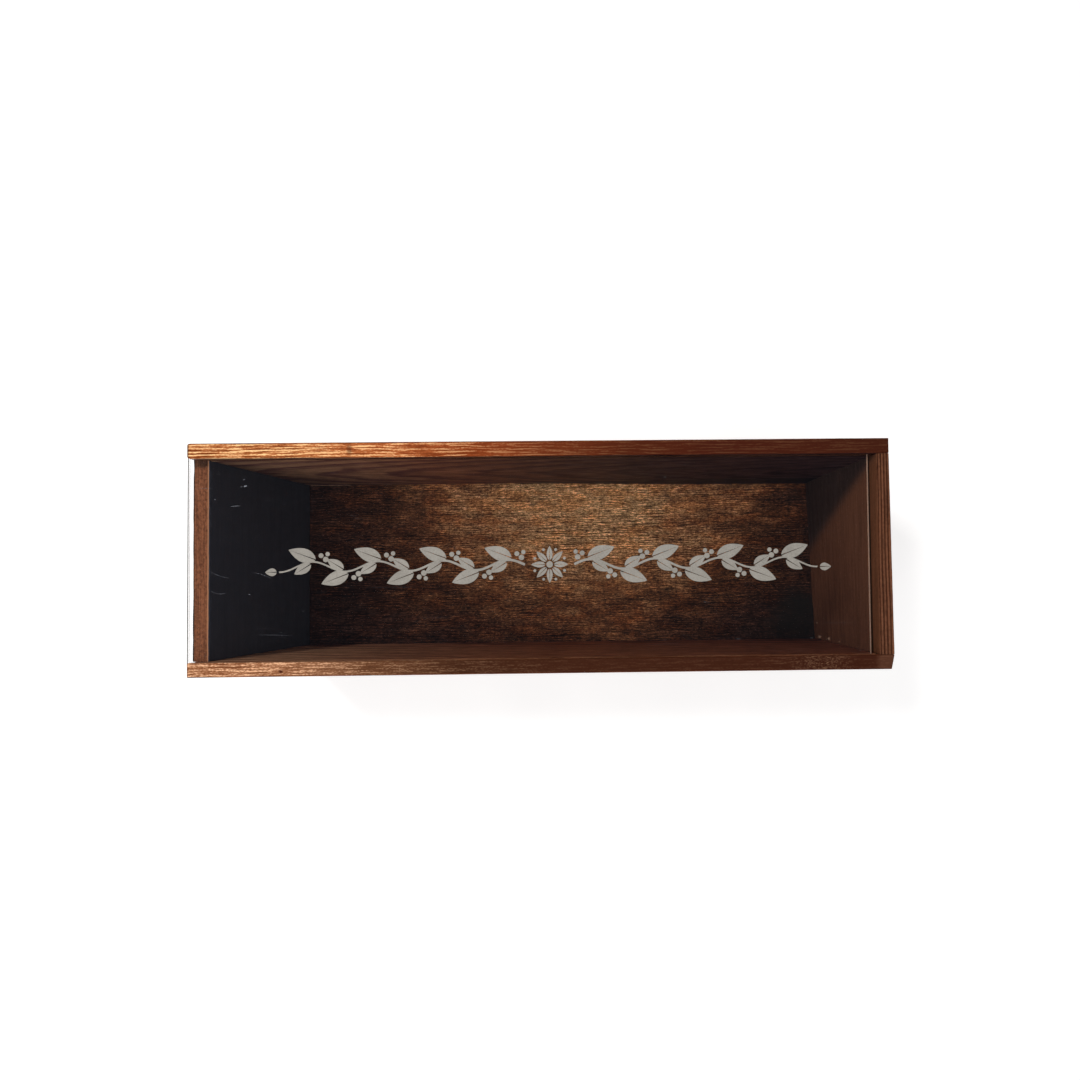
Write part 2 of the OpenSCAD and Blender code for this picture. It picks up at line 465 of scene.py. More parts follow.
def let_light_through(p, shader):
    """Lets the lamps' rays and the light between the faces inside the box pass the lid straight."""
    rays = p.node("ShaderNodeLightPath").outputs
    lit = p.calc("MAXIMUM", rays["Is Shadow Ray"], rays["Is Diffuse Ray"])
    mirrored = p.calc("SUBTRACT", rays["Is Glossy Ray"], rays["Is Transmission Ray"], clamp=True)
    return p.finish(p.blend(p.calc("MAXIMUM", lit, mirrored), shader, p.shader("Transparent", CLEAR)))


def acrylic():
    """Clear acrylic with fine rubbed scratches and a light haze."""
    p = Paint("clear_acrylic")
    rubbed = p.noise((38, 0.5, 3), rough=0.6, warp=0.15, shift=1.0, turn=(0, 0, 0.05))
    marks = p.noise((3.4, 0.34, 3), detail=1, rough=0.4, warp=1.5, shift=6.0, turn=(0, 0, 0.35))
    patch = p.fit(p.noise((26, 20, 20), detail=1, shift=3.0), 0.5, 0.62)
    marks = p.fit(marks, 0.77, 0.82) * patch
    scratch = p.calc("MAXIMUM", p.fit(rubbed, 0.73, 0.79) * 0.3, marks, clamp=True)
    dust = p.shader("Diffuse", {"Color": tint(150, 152, 158)})
    return let_light_through(p, p.blend(scratch * 0.5, glass(p, 0.02), dust))


def sawn_edge():
    """The lid's edges, frosted by the saw at the right end, pale and warm there: the warmth is a painted
    reflection of the wood round it. The left one is cleaner: the view passes it straight, but for its
    upper part, where a grey band of painted shade stands for the dark line that this edge shows."""
    p = Paint("sawn_acrylic_edge")
    saw = p.noise((0.5, 0.5, 6), rough=0.6, shift=2.0)
    right = p.fit(p.axis("X"), -1 * MM, 1 * MM)
    # A grey band of painted shade on the upper part of the left edge.
    painted_dark_band = p.fit(p.axis("Z"), *PAINTED_DARK_EDGE) * (1.0 - right)
    # Pale and warm: frosted acrylic with a painted reflection of the wood's warm light.
    pale = p.ramp(saw, (0.3, 236, 196, 172), (0.7, 255, 222, 200))
    pale = {"Color": p.mix(painted_dark_band, pale, tint(108, 110, 108))}
    frost = p.blend(0.5, p.shader("Diffuse", pale), p.shader("Translucent", pale))
    body = p.blend(right, p.shader("Transparent", CLEAR), glass(p, 0.35))
    share = p.calc("MAXIMUM", p.fit(right, 0.0, 1.0, 0.08, 0.88), painted_dark_band * 0.92)
    return let_light_through(p, p.blend(share, body, frost))


def scratch_white():
    """The white bottom of a deep scratch in the lid."""
    p = Paint("scratch_white")
    broken = p.fit(p.noise((0.9, 0.9, 0.9), rough=0.6, shift=8.0), 0.42, 0.62, 0.05, 0.6)
    matt = p.shader("Diffuse", {"Color": tint(150, 154, 164)})
    return p.finish(p.blend(broken, p.shader("Transparent"), matt))


def print_film():
    """Pale grey print, a little uneven, that the wood shows through faintly."""
    p = Paint("lid_print")
    worn = p.noise((0.7, 0.7, 0.7), detail=3, rough=0.6, shift=2.0)
    broad = p.noise((9, 9, 9), shift=5.0)
    colour = p.ramp(broad * 0.4 + worn * 0.6, (0.3, 140, 136, 129), (0.7, 172, 168, 160))
    body = p.shader("Principled", {"Base Color": colour, "Roughness": 0.6})
    return p.finish(p.blend(0.1, body, p.shader("Transparent")))


def brad_steel():
    p = Paint("brad_steel")
    spots = p.noise((0.5, 0.5, 0.5), detail=3, rough=0.6)
    colour = p.ramp(spots, (0.35, 96, 82, 70), (0.6, 150, 146, 140))
    return p.solid(colour, p.fit(spots, 0.3, 0.7, 0.5, 0.32), p.bump(spots, 0.05 * MM, 0.5), metallic=1.0)


def dried_glue():
    p = Paint("dried_glue")
    spots = p.noise((0.6, 0.6, 0.6), rough=0.6)
    colour = p.ramp(spots, (0.35, 112, 84, 68), (0.65, 166, 134, 114))
    return p.solid(colour, 0.45, p.bump(spots, 0.1 * MM, 0.5))


# ---- relief and swept boards

# How many random values the relief draws on, and the strides that scatter its cells over them
LATTICE = 4096
STEP_X, STEP_Y = 73856093, 19349663
# How deep the wear of an arris is at most, and the size of its dents along the board and round it
WEAR = 0.25 * MM
WEAR_CELL = (6 * MM, 3 * MM)
# How far from a board's ends its outer rings of points stand, how far the first and the last two
# are drawn in, and where the even rings begin
END_RINGS = np.array((0.0, 0.09, 0.3, 0.6, 1.0)) * MM
END_INSET = np.array((0.3, 0.1, 0.1, 0.3)) * MM
EVEN_RINGS = 1.5 * MM


def eased(share):
    """A share from 0 to 1 that starts and ends slowly."""
    return share * share * (3 - 2 * share)


def rough_field(along, across, seed):
    """Smooth random values from 0 to 1 over cells of one unit, the same on every run."""
    table = np.random.default_rng(seed).random(LATTICE)
    cell_a, cell_b = np.floor(along).astype(np.int64), np.floor(across).astype(np.int64)
    share_a, share_b = eased(along - cell_a), eased(across - cell_b)

    def corner(a, b):
        return table[((cell_a + a) * STEP_X ^ (cell_b + b) * STEP_Y) % LATTICE]

    near = corner(0, 0) * (1 - share_a) + corner(1, 0) * share_a
    far = corner(0, 1) * (1 - share_a) + corner(1, 1) * share_a
    return near * (1 - share_b) + far * share_b


def grain_field(along, across, length, width, seed):
    """Wood grain from 0 to 1: long streaks with shorter ones on them."""
    drift = 0.8 * rough_field(along / (4 * length), across / (9 * width), seed + 1)
    coarse = rough_field(along / length, across / width + drift, seed + 2)
    fine = rough_field(2.7 * along / length, 2.1 * across / width + drift, seed + 3)
    return 0.68 * coarse + 0.32 * fine


def outline(corners):
    """A closed section. Each corner is (u, v, radius, step, skin), and step and skin belong to the
    side after it. Returns its points, outward normals, distance round it, skins and arris marks."""
    points, skins, arris = [], [], []
    count = len(corners)
    spots = [np.array(c[:2], float) for c in corners]
    for i, (_, _, radius, step, skin) in enumerate(corners):
        here, after = spots[i], spots[(i + 1) % count]
        come = (here - spots[i - 1]) / np.linalg.norm(here - spots[i - 1])
        leave = (after - here) / np.linalg.norm(after - here)
        begin, end = here - come * radius, here + leave * radius
        rounding = (0.0, 0.3, 0.7) if radius else ()
        points += [(1 - t) ** 2 * begin + 2 * t * (1 - t) * here + t * t * end for t in rounding]
        stop = after - leave * corners[(i + 1) % count][2]
        pieces = max(1, round(np.linalg.norm(stop - end) / step))
        points += [end + (stop - end) * k / pieces for k in range(pieces)]
        skins += [skin] * (len(rounding) + pieces)
        arris += [1.0] * len(rounding) + [0.0] * pieces
    points = np.array(points)
    ahead, behind = np.roll(points, -1, 0), np.roll(points, 1, 0)
    turn = ahead - behind
    area = np.sum(points[:, 0] * ahead[:, 1] - ahead[:, 0] * points[:, 1])
    normals = np.stack([turn[:, 1], -turn[:, 0]], 1) * np.sign(area)
    normals /= np.linalg.norm(normals, axis=1)[:, None]
    strides = np.linalg.norm(points - behind, axis=1)
    return points, normals, np.cumsum(strides), skins, np.array(arris)


def sweep(name, section, ends, place, skins, streak, seed, step=1.5 * MM, profile=None):
    """A board: a section swept from ends[0] to ends[1], with grain cut into its skins.

    place turns arrays (along, u, v) into x, y, z. skins gives each skin's material and the depth of
    its relief, streak is the length and width of its streaks, and profile a function of how deep the
    board is carved besides.
    """
    points, normals, around, skin_of, arris = outline(section)
    count = max(2, round((ends[1] - ends[0]) / step))
    even = np.linspace(ends[0] + EVEN_RINGS, ends[1] - EVEN_RINGS, count)
    along = np.concatenate([ends[0] + END_RINGS, even, ends[1] - END_RINGS[::-1]])
    inset = np.zeros(len(along))
    inset[[0, 1, -2, -1]] = END_INSET
    depth = np.array([skins[skin][1] for skin in skin_of])
    depth = (np.roll(depth, 1) + depth + np.roll(depth, -1)) / 3
    s, t = np.meshgrid(along, around, indexing="ij")
    worn = rough_field(s / WEAR_CELL[0], t / WEAR_CELL[1], seed + 11) ** 2
    cut = grain_field(s, t, *streak, seed) * depth[None, :] + arris[None, :] * worn * WEAR
    if profile:
        cut = cut + profile(s, points, skin_of)
    move = cut + inset[:, None]
    u = points[None, :, 0] - normals[None, :, 0] * move
    v = points[None, :, 1] - normals[None, :, 1] * move
    rings, spots = s.shape
    index = np.arange(rings * spots).reshape(rings, spots)
    a, b = index[:-1], np.roll(index[:-1], -1, 1)
    c, d = np.roll(index[1:], -1, 1), index[1:]
    quads = np.stack([a, b, c, d], -1).reshape(-1, 4).tolist()
    quads += [index[0].tolist(), index[-1][::-1].tolist()]
    mesh = bpy.data.meshes.new(name)
    mesh.from_pydata(np.stack(place(s, u, v), -1).reshape(-1, 3).tolist(), [], quads)
    for material, _ in skins.values():
        mesh.materials.append(material)
    names = list(skins)
    rows = [names.index(skin) for skin in skin_of] * (rings - 1)
    mesh.polygons.foreach_set("material_index", rows + [names.index("end")] * 2)
    hollow = mesh.attributes.new("hollow", "FLOAT", "POINT")
    hollow.data.foreach_set("value", (cut / cut.max()).astype(np.float32).ravel())
    return smooth_piece(name, mesh)


def mesh_from(name, work, *materials):
    """The mesh that a bmesh makes, with its materials."""
    mesh = bpy.data.meshes.new(name)
    work.to_mesh(mesh)
    work.free()
    for material in materials:
        mesh.materials.append(material)
    return mesh


def smooth_piece(name, mesh, sharp=38):
    """Outward faces, smooth shading with sharp corners, and the object that carries the mesh."""
    work = bmesh.new()
    work.from_mesh(mesh)
    bmesh.ops.recalc_face_normals(work, faces=work.faces)
    work.to_mesh(mesh)
    work.free()
    mesh.polygons.foreach_set("use_smooth", [True] * len(mesh.polygons))
    mesh.set_sharp_from_angle(angle=math.radians(sharp))
    return add_object(name, mesh)


def on_body(piece, body, slot, *nodes):
    """Rides a piece on its body and hides the CAD nodes that it stands for; the slot is not used."""
    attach(piece, body)
    if nodes:
        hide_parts(*nodes)


# ---- side boards

# How far the inner faces of the side boards stand back at their feet
SIDE_LEAN = 1.8 * MM
# How much less the back board's foot stands back at its right, and where that begins and is full
BACK_BOW = 1.6 * MM
BACK_BOW_RUN = (-40 * MM, 110 * MM)
# How far the back board's rim stands in over the box
RIM_OVER = 0.45 * MM
# Radius of the back board's corners at its left end, in plan
END_ROUND = 1.3 * MM
# How far the front board's left end stops short of the back board's
FRONT_SHORT = 0.45 * MM
# How much shorter the box is along its back than along its front
RIGHT_SKEW = 1.0 * MM


def below_rim(height):
    """0 at the rim and 1 at the foot of the boards."""
    return (RIM_Z - height) / (RIM_Z - FLOOR_Z)


def side_lean(y, z, lean=SIDE_LEAN, over=0.0):
    """y of a side board's points once its inner face leans back by lean from a rim that stands in
    by over."""
    inner_share = 1 - (np.abs(y) - INNER_Y) / (BACK[1].y - INNER_Y)
    return y + np.sign(y) * ((lean + over) * below_rim(z) - over) * inner_share


def side_section(across):
    """Section of a side board as (y, z), from the inner face's foot, up, over and down."""
    inner, outer, bed = across * INNER_Y, across * BACK[1].y, across * GROOVE_BED
    fine, plain = 0.38 * MM, 2.0 * MM
    return [
        (inner, FLOOR_Z, 0.3 * MM, plain, "inside"),
        (inner, GROOVE_LOW, 0.35 * MM, 0.9 * MM, "groove"),
        (bed, GROOVE_LOW, 0, 0.9 * MM, "groove"),
        (bed, GROOVE_HIGH, 0, 0.9 * MM, "groove"),
        (inner, GROOVE_HIGH, 0.3 * MM, 0.5 * MM, "inside"),
        (inner, RIM_Z, 0.4 * MM, fine, "rim"),
        (outer, RIM_Z, 0.45 * MM, plain, "outside"),
        (outer, FLOOR_Z, 0.6 * MM, plain, "foot"),
    ]


def side_skins(woods, inside, groove, rim):
    return {
        "inside": (woods[inside], 0.05 * MM),
        "groove": (woods[groove], 0.0),
        "rim": (woods[rim], 0.1 * MM),
        "outside": (woods["outside"], 0.04 * MM),
        "foot": (woods["groove"], 0.0),
        "end": (woods["end_grain"], 0.0),
    }


def back_board(woods):
    def place(s, u, v):
        """The right end is a little short of square, the corners of the left end are rounded, and
        the foot is bowed in towards the right."""
        share = (s - BACK[0].x) / (BACK[1].x - BACK[0].x)
        near = np.clip(1 - (s - BACK[0].x) / END_ROUND, 0, 1)
        middle = (BACK[0].y + BACK[1].y) / 2
        shrink = END_ROUND * (1 - np.sqrt(1 - near ** 2)) / (BACK[1].y - middle)
        bow = np.clip((s - BACK_BOW_RUN[0]) / (BACK_BOW_RUN[1] - BACK_BOW_RUN[0]), 0, 1)
        lean = SIDE_LEAN - BACK_BOW * eased(bow)
        y = side_lean(middle + (u - middle) * (1 - shrink), v, lean, RIM_OVER)
        return s - RIGHT_SKEW * share ** 8, y, v

    skins = side_skins(woods, "back_inside", "groove", "back_rim")
    ends = (BACK[0].x, BACK[1].x)
    board = sweep("back_board", side_section(1), ends, place, skins, (24 * MM, 0.8 * MM), seed=21)
    on_body(board, "case", "stained_wood", "side_board_back")


def front_board(woods):
    def place(s, u, v):
        """The right end runs out of square: its outer side is shorter."""
        lost = END_SKEW * (u + INNER_Y) / (INNER_Y + FRONT[0].y)
        share = (s - FRONT[0].x) / (FRONT[1].x - FRONT[0].x)
        return s - lost * share, side_lean(u, v), v

    skins = side_skins(woods, "front_inside", "front_groove", "front_rim")
    ends = (FRONT[0].x + FRONT_SHORT, FRONT[1].x)
    board = sweep("front_board", side_section(-1), ends, place, skins, (15 * MM, 0.9 * MM), seed=41)
    on_body(board, "case", "stained_wood", "side_board_front")


# ---- end boards

# Ridges across the right end board's top, the part of one that its inner arris cuts off, the depth
# between them, and how many ridges they wander and over which length
RIDGES = 4.2
RIDGE_START = 0.17
RIDGE_DEPTH = 0.45 * MM
RIDGE_WANDER = 0.3
WANDER_CELL = 35 * MM
# The left end board as it shows: its outer face, the inner edge of its top, and the lean of its foot
LEFT_OUTER = LEFT[0].x + 0.8 * MM
LEFT_INNER = LEFT[1].x + 1.7 * MM
LEFT_LEAN = 2.4 * MM
# How far its back end reaches into the back board's lean
LEFT_REACH = 0.8 * MM
# The lean of the right end board's foot, at its front and at its back
RIGHT_LEAN = (1.7 * MM, 6.4 * MM)
# Length and width of the streaks in both end boards
END_STREAK = (30 * MM, 0.9 * MM)


def end_section(left_x, right_x, top_z):
    """Section of an end board as (x, z), from the foot of its left face, up, over and down."""
    plain = 2.2 * MM
    return [
        (left_x, FLOOR_Z, 0.4 * MM, plain, "left"),
        (left_x, top_z, 0.6 * MM, 0.33 * MM, "top"),
        (right_x, top_z, 0.3 * MM, plain, "right"),
        (right_x, FLOOR_Z, 0.4 * MM, plain, "foot"),
    ]


def end_skins(woods, left, right, top):
    """left, right and top are the names of those faces' woods and the depths of their relief."""
    faces = {"left": left, "right": right, "top": top, "foot": ("groove", 0.0), "end": ("groove", 0.0)}
    return {skin: (woods[wood], depth) for skin, (wood, depth) in faces.items()}


def between_sides(y, z):
    """y of an end board's points: it fills the space between the leaning side boards."""
    return y * (1 + SIDE_LEAN * below_rim(z) / INNER_Y)


def left_end(woods):
    def place(s, u, v):
        """The inner face leans in towards its foot."""
        inner_share = (u - LEFT_OUTER) / (LEFT_INNER - LEFT_OUTER)
        return u + LEFT_LEAN * below_rim(v) * inner_share, between_sides(s, v), v

    skins = end_skins(woods, ("outside_end", 0.05 * MM), ("left_face", 0.05 * MM), ("left_top", 0.2 * MM))
    section = end_section(LEFT_OUTER, LEFT_INNER, LEFT[1].z)
    ends = (LEFT[0].y, LEFT[1].y + LEFT_REACH)
    board = sweep("left_end", section, ends, place, skins, END_STREAK, seed=61)
    on_body(board, "case", "stained_wood", "end_board_left")


def right_end(woods):
    thick = RIGHT[1].x - RIGHT[0].x

    def ridges(s, points, skin_of):
        """Weathered ridges along the top edge, one for each growth ring that it cuts."""
        share = (points[:, 0] - RIGHT[0].x) / thick
        wander = RIDGE_WANDER * (rough_field(s / WANDER_CELL, 0 * s, 77) - 0.5)
        wave = 0.5 - 0.5 * np.cos(2 * np.pi * (RIDGES * share[None, :] + RIDGE_START + wander))
        top = np.array([skin == "top" for skin in skin_of])
        return RIDGE_DEPTH * wave ** 2.5 * top[None, :]

    def place(s, u, v):
        """The inner face leans in towards its foot, most at the back, and the outer face is skew."""
        back_share = (s - RIGHT[0].y) / (RIGHT[1].y - RIGHT[0].y)
        inner_share = (RIGHT[1].x - u) / thick
        lean = RIGHT_LEAN[0] + (RIGHT_LEAN[1] - RIGHT_LEAN[0]) * back_share
        x = u - lean * below_rim(v) * inner_share - RIGHT_SKEW * back_share * (1 - inner_share)
        return x, between_sides(s, v), v

    skins = end_skins(woods, ("right_face", 0.1 * MM), ("outside_end", 0.05 * MM), ("right_top", 0.12 * MM))
    section = end_section(RIGHT[0].x, RIGHT[1].x, RIGHT[1].z)
    ends = (RIGHT[0].y, RIGHT[1].y - RIM_OVER)
    board = sweep("right_end", section, ends, place, skins, END_STREAK, seed=81, profile=ridges)
    on_body(board, "case", "stained_wood", "end_board_right")


# ---- floor panel


def straight(s, u, v):
    """Where a board's points lie if it isn't out of true."""
    return s, u, v


def floor_panel(woods):
    skins = {
        "top": (woods["floor"], 0.22 * MM),
        "edge": (woods["ply_edge"], 0.1 * MM),
        "under": (woods["outside"], 0.12 * MM),
        "end": (woods["ply_edge"], 0.0),
    }
    section = [
        (FLOOR[0].y, FLOOR[0].z, 0.4 * MM, 2.4 * MM, "under"),
        (FLOOR[1].y, FLOOR[0].z, 0.4 * MM, 0.8 * MM, "edge"),
        (FLOOR[1].y, FLOOR[1].z, 0.3 * MM, 0.75 * MM, "top"),
        (FLOOR[0].y, FLOOR[1].z, 0.3 * MM, 0.8 * MM, "edge"),
    ]
    ends = (FLOOR[0].x, FLOOR[1].x)
    panel = sweep("coarse_floor", section, ends, straight, skins, (8 * MM, 1.5 * MM), 101, step=1.6 * MM)
    on_body(panel, "case", "coarse_wood", "floor_panel")


# ---- lid and its print

LID_BEVEL = 0.25 * MM
LID_CORNER = 0.8 * MM
# How much shorter than its solid the lid is, at its left and at its right
LID_SHORT = (0.25 * MM, 0.7 * MM)
# A face of the lid belongs to its edge if its normal rises less than this
EDGE_RISE = 0.2


def lid_piece():
    """The clear lid: a plate with rounded corners and broken edges."""
    work = bmesh.new()
    low, high = LID[0] + Vector((LID_SHORT[0], 0, 0)), LID[1] - Vector((LID_SHORT[1], 0, 0))
    size = high - low
    turn = Matrix.Translation((low + high) / 2) @ Matrix.Diagonal((*size, 1.0))
    bmesh.ops.create_cube(work, size=1.0, matrix=turn)
    for upright, offset, segments in ((True, LID_CORNER, 4), (False, LID_BEVEL, 2)):
        edges = [e for e in work.edges if (abs(e.verts[0].co.z - e.verts[1].co.z) > size.z / 2) == upright]
        bmesh.ops.bevel(work, geom=edges, offset=offset, segments=segments, affect="EDGES", profile=0.5)
    plate = smooth_piece("clear_lid", mesh_from("clear_lid", work, acrylic(), sawn_edge()), sharp=20)
    for face in plate.data.polygons:
        face.material_index = 1 if abs(face.normal.z) < EDGE_RISE else 0
    on_body(plate, "lid", "clear_acrylic", "lid")


# The print's middle on the lid, half its length and the height of its film
PRINT_SPOT = (3.5 * MM, -4.0 * MM)
PRINT_HALF = 148 * MM
PRINT_LIFT = 0.02 * MM
PRINT_FILM = 0.04 * MM
PRINT_LAYER = 0.06 * MM
# The vine's wave, where it starts and ends beside the rosette, and how wide it is there
VINE_WAVE = 34 * MM
VINE_SWING = 2.6 * MM
VINE_RUN = (13 * MM, PRINT_HALF - 7 * MM)
VINE_WIDTHS = (1.3 * MM, 0.8 * MM)
# The leaves of each pair: how far along and out their feet lie, their length, half width and slant
LEAVES = (
    (-1.5 * MM, 1.1 * MM, 15.0 * MM, 3.5 * MM, 0.36),
    (1.0 * MM, -1.2 * MM, 10.0 * MM, 2.5 * MM, -0.55),
)
# The leaf at the vine's tip: how far along its foot lies, its length and half width
TIP_LEAF = (1.2 * MM, 6 * MM, 1.9 * MM)
# Three berries beside each pair of leaves: how far along and out they lie, and their radius
BERRIES = (
    (-6.8 * MM, 1.2 * MM, 1.45 * MM),
    (-4.4 * MM, 3.2 * MM, 1.3 * MM),
    (-7.8 * MM, 4.0 * MM, 1.15 * MM),
)
# The rosette's heart, where its petals start, their length, half width and midrib, and its dots
HEART_R = 1.7 * MM
PETAL_R = 2.3 * MM
PETAL = (7.4 * MM, 1.45 * MM)
PETAL_RIB = 0.18 * MM
DOT_R, DOT_SIZE = 8.4 * MM, 0.75 * MM


def film_shape(work, ring, layer=0):
    """A closed thin plate on the lid with the outline ring, a list of (x, y) round the print's middle.
    Shapes that overlap lie on different layers."""
    low = LID[1].z + PRINT_LIFT + layer * PRINT_LAYER
    spots = [(x + PRINT_SPOT[0], y + PRINT_SPOT[1]) for x, y in ring]
    under = [work.verts.new((x, y, low)) for x, y in spots]
    over = [work.verts.new((x, y, low + PRINT_FILM)) for x, y in spots]
    work.faces.new(under[::-1])
    work.faces.new(over)
    for i, vert in enumerate(under):
        j = (i + 1) % len(under)
        work.faces.new((vert, under[j], over[j], over[i]))


def leaf(work, spot, angle, length, width, layer=0, gap=0.25 * MM):
    """A leaf of two halves with a narrow gap for its midrib, and arcs that meet in a point."""
    steps = 14
    c, s = math.cos(angle), math.sin(angle)
    for side in (-1, 1):
        ring = [(length * k / steps, side * gap * (1 - k / steps)) for k in range(steps + 1)]
        for k in range(steps - 1, 0, -1):
            t = k / steps
            swell = math.sin(math.pi * t ** 0.8) ** 0.85
            ring.append((length * t, side * (gap * (1 - t) + width * swell)))
        film_shape(work, [(spot[0] + c * x - s * y, spot[1] + s * x + c * y) for x, y in ring], layer)


def disc(work, spot, radius, layer=0):
    steps = 20
    x, y = spot
    angles = [2 * math.pi * k / steps for k in range(steps)]
    film_shape(work, [(x + radius * math.cos(a), y + radius * math.sin(a)) for a in angles], layer)


def ribbon(work, path, widths):
    """A closed strip along a path, as wide at each point as widths says."""
    left, right = [], []
    for i, (x, y) in enumerate(path):
        before, after = path[max(i - 1, 0)], path[min(i + 1, len(path) - 1)]
        dx, dy = after[0] - before[0], after[1] - before[1]
        run = math.hypot(dx, dy)
        nx, ny = -dy / run * widths[i] / 2, dx / run * widths[i] / 2
        left.append((x + nx, y + ny))
        right.append((x - nx, y - ny))
    film_shape(work, left + right[::-1])


def vine_height(x):
    return VINE_SWING * math.sin(2 * math.pi * (x - VINE_RUN[0]) / VINE_WAVE)


def vine_side(work, way):
    """One half of the vine, from the rosette outwards. way is 1 to the right and -1 to the left."""

    def facing(slant):
        return slant if way > 0 else math.pi - slant

    count = 150
    start, end = VINE_RUN
    xs = [start + (end - start) * k / count for k in range(count + 1)]
    widths = [VINE_WIDTHS[0] + (VINE_WIDTHS[1] - VINE_WIDTHS[0]) * k / count for k in range(count + 1)]
    ribbon(work, [(way * x, vine_height(x)) for x in xs], widths)
    for k in range(int((end - start) / (VINE_WAVE / 2))):
        x = start + (k + 0.5) * VINE_WAVE / 2
        up = 1 if k % 2 == 0 else -1
        for layer, (along, out, length, width, slant) in enumerate(LEAVES, 1):
            foot = (way * (x + along), vine_height(x) + up * out)
            leaf(work, foot, facing(up * slant), length, width, layer)
        for along, out, radius in BERRIES:
            disc(work, (way * (x + along), vine_height(x) + up * out), radius, 3)
    along, length, width = TIP_LEAF
    leaf(work, (way * (end + along), vine_height(end)), facing(0.0), length, width)


def rosette(work):
    """Eight petals round a dot, with a small dot between each pair."""
    disc(work, (0, 0), HEART_R)
    for k in range(8):
        angle = k * math.pi / 4
        leaf(work, (PETAL_R * math.cos(angle), PETAL_R * math.sin(angle)), angle, *PETAL, gap=PETAL_RIB)
        between = angle + math.pi / 8
        disc(work, (DOT_R * math.cos(between), DOT_R * math.sin(between)), DOT_SIZE)


def print_piece():
    work = bmesh.new()
    rosette(work)
    for way in (-1, 1):
        vine_side(work, way)
    mesh = mesh_from("lid_ornament", work, print_film())
    on_body(smooth_piece("lid_ornament", mesh), "lid", "lid_print")


# Scratches in the lid's top: ends (x, y) in millimetres, how far they bow, and their width
SCRATCHES = (
    (-155.9, 38.2, -154.1, 38.7, 0.2, 0.8),
    (-158.0, 37.8, -156.2, 38.3, 0.3, 0.14),
    (-156.4, 41.5, -155.0, 42.0, 0.4, 0.18),
    (-171.2, 31.6, -170.4, 31.8, 0.1, 0.24),
    (-162.9, 27.9, -157.8, 28.3, 0.1, 0.3),
    (-181.2, 37.6, -171.8, 37.5, 0.1, 0.1),
    (-173.4, -5.8, -163.4, -9.4, -0.5, 0.12),
    (-151.6, -6.4, -140.6, -10.2, 0.4, 0.13),
    (-173.0, -15.8, -165.0, -17.2, -1.0, 0.13),
    (-153.2, -18.0, -152.2, -18.3, 0.1, 0.26),
    (-148.4, -39.2, -130.4, -39.8, 0.2, 0.08),
)


def scratches_piece():
    """Single deep scratches over the lid's left end."""
    work = bmesh.new()
    steps = 10
    shares = [k / steps for k in range(steps + 1)]
    for x0, y0, x1, y1, bow, width in SCRATCHES:
        run = math.hypot(x1 - x0, y1 - y0)
        path = []
        for t in shares:
            rise = bow * 4 * t * (1 - t)
            x = x0 + (x1 - x0) * t - (y1 - y0) / run * rise
            y = y0 + (y1 - y0) * t + (x1 - x0) / run * rise
            path.append((x * MM - PRINT_SPOT[0], y * MM - PRINT_SPOT[1]))
        ribbon(work, path, [width * MM * (0.25 + 0.75 * math.sin(math.pi * t)) for t in shares])
    mesh = mesh_from("lid_scratches", work, scratch_white())
    on_body(smooth_piece("lid_scratches", mesh), "lid", "clear_acrylic")


# ---- glue

# Specks of glue by the right end's foot: x, y, z and size in millimetres
GLUE_SPECKS = (
    (173.7, -52.6, 14.9, 1.0),
    (174.0, -52.4, 12.6, 0.6),
    (173.9, -52.0, 31.6, 0.9),
    (174.1, -52.6, 27.5, 0.5),
    (174.3, -52.2, 47.8, 0.5),
    (173.2, -43.4, 11.0, 0.5),
)
# The run of glue along the back board's foot: where it starts and ends, and how many lumps it has
BEAD_RUN = (-172 * MM, -146 * MM)
BEAD_LUMPS = 34
BEAD_SINK = 0.1 * MM


def glue_bead(work, draw, spot, size):
    """A small flattened lump of dried glue."""
    made = bmesh.ops.create_icosphere(work, subdivisions=2, radius=1.0)
    for vert in made["verts"]:
        swell = 1 + 0.25 * draw.uniform(-1, 1)
        vert.co = Vector([spot[k] + vert.co[k] * size[k] * swell for k in range(3)])


def glue_piece():
    """Glue squeezed out along the foot of the back board, and specks at the front right corner."""
    draw = np.random.default_rng(5)
    work = bmesh.new()
    for x in np.linspace(*BEAD_RUN, BEAD_LUMPS):
        size = (0.7 * MM, draw.uniform(0.1, 0.34) * MM, draw.uniform(0.1, 0.4) * MM)
        glue_bead(work, draw, (x, INNER_Y + SIDE_LEAN - BEAD_SINK, FLOOR_Z + BEAD_SINK), size)
    for x, y, z, reach in GLUE_SPECKS:
        size = [reach * draw.uniform(0.7, 1.2) * MM for _ in range(3)]
        glue_bead(work, draw, (x * MM, y * MM, z * MM), size)
    mesh = mesh_from("glue_residue", work, dried_glue())
    on_body(smooth_piece("glue_residue", mesh, sharp=180), "case", "dried_glue")


# ---- brads


def dress_brads():
    steel = brad_steel()
    for name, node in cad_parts.items():
        if "brads" in name:
            node.data.materials.clear()
            node.data.materials.append(steel)


# ---- stage and light

# Half the side of the pale floor, how far under the box it lies, and between which distances from
# the middle, in metres, it brightens by itself
STAGE_HALF = 4.0
STAGE_DROP = 0.2 * MM
STAGE_RUN = (0.5, 2.2)
# Where the lamps aim: the middle of the box, a little above its floor
LAMP_AIM = Vector((0, 0, 50 * MM))
# What polished faces mirror of the room overhead, and what matt faces get of its light
ROOM_OVERHEAD = (0.034, 0.038, 0.050, 1)
ROOM_LIGHT = (0.24, 0.24, 0.25, 1)


